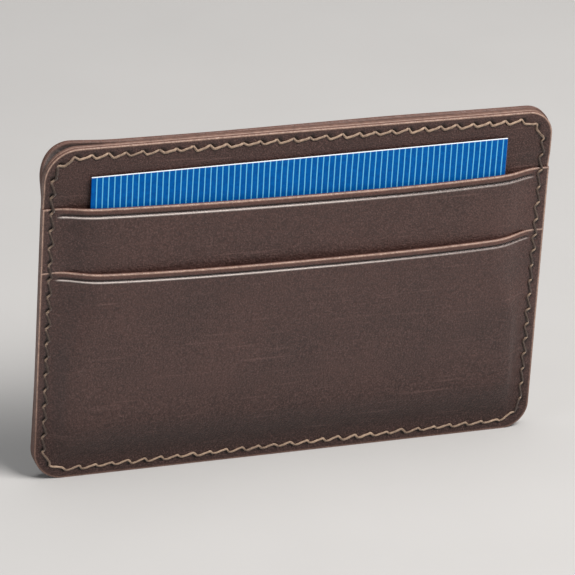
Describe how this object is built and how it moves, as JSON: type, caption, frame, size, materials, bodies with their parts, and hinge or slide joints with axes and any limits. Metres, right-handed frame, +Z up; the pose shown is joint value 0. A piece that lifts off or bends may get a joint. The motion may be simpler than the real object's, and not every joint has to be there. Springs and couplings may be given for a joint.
{
  "type": "minimalist wallet",
  "caption": "Slim stitched leather card case: two stacked card pockets on each face, an open pocket between the halves, and a business card that slides up out of the front upper pocket.",
  "frame": {"origin": "middle of the bottom edge, on the middle plane between the two halves", "axes": "+X to the right across the case, +Z up towards the pocket mouths, -Y out of the front face"},
  "size_m": [0.108, 0.0088, 0.073],
  "materials": {
    "leather": "satin",
    "lining_leather": "matte",
    "thread": "waxed",
    "card": "satin"
  },
  "bodies": {
    "wallet": {"front_lining": "lining_leather", "front_panel": "leather", "front_upper_pocket": "leather", "front_lower_pocket": "leather", "front_top_seam_outer_thread": "thread", "front_top_seam_inner_thread": "thread", "front_side_seam_thread": "thread", "front_stem_seam_outer_thread": "thread", "front_stem_seam_inner_thread": "thread", "back_lining": "lining_leather", "back_panel": "leather", "back_upper_pocket": "leather", "back_lower_pocket": "leather", "back_top_seam_outer_thread": "thread", "back_top_seam_inner_thread": "thread", "back_side_seam_thread": "thread", "back_stem_seam_outer_thread": "thread", "back_stem_seam_inner_thread": "thread"},
    "card": {"business_card": "card"}
  },
  "joints": [
    {"name": "card_slide", "type": "slide", "parent": "wallet", "child": "card", "axis": [0, 0, 1], "range_m": [0, 0.05]}
  ]
}
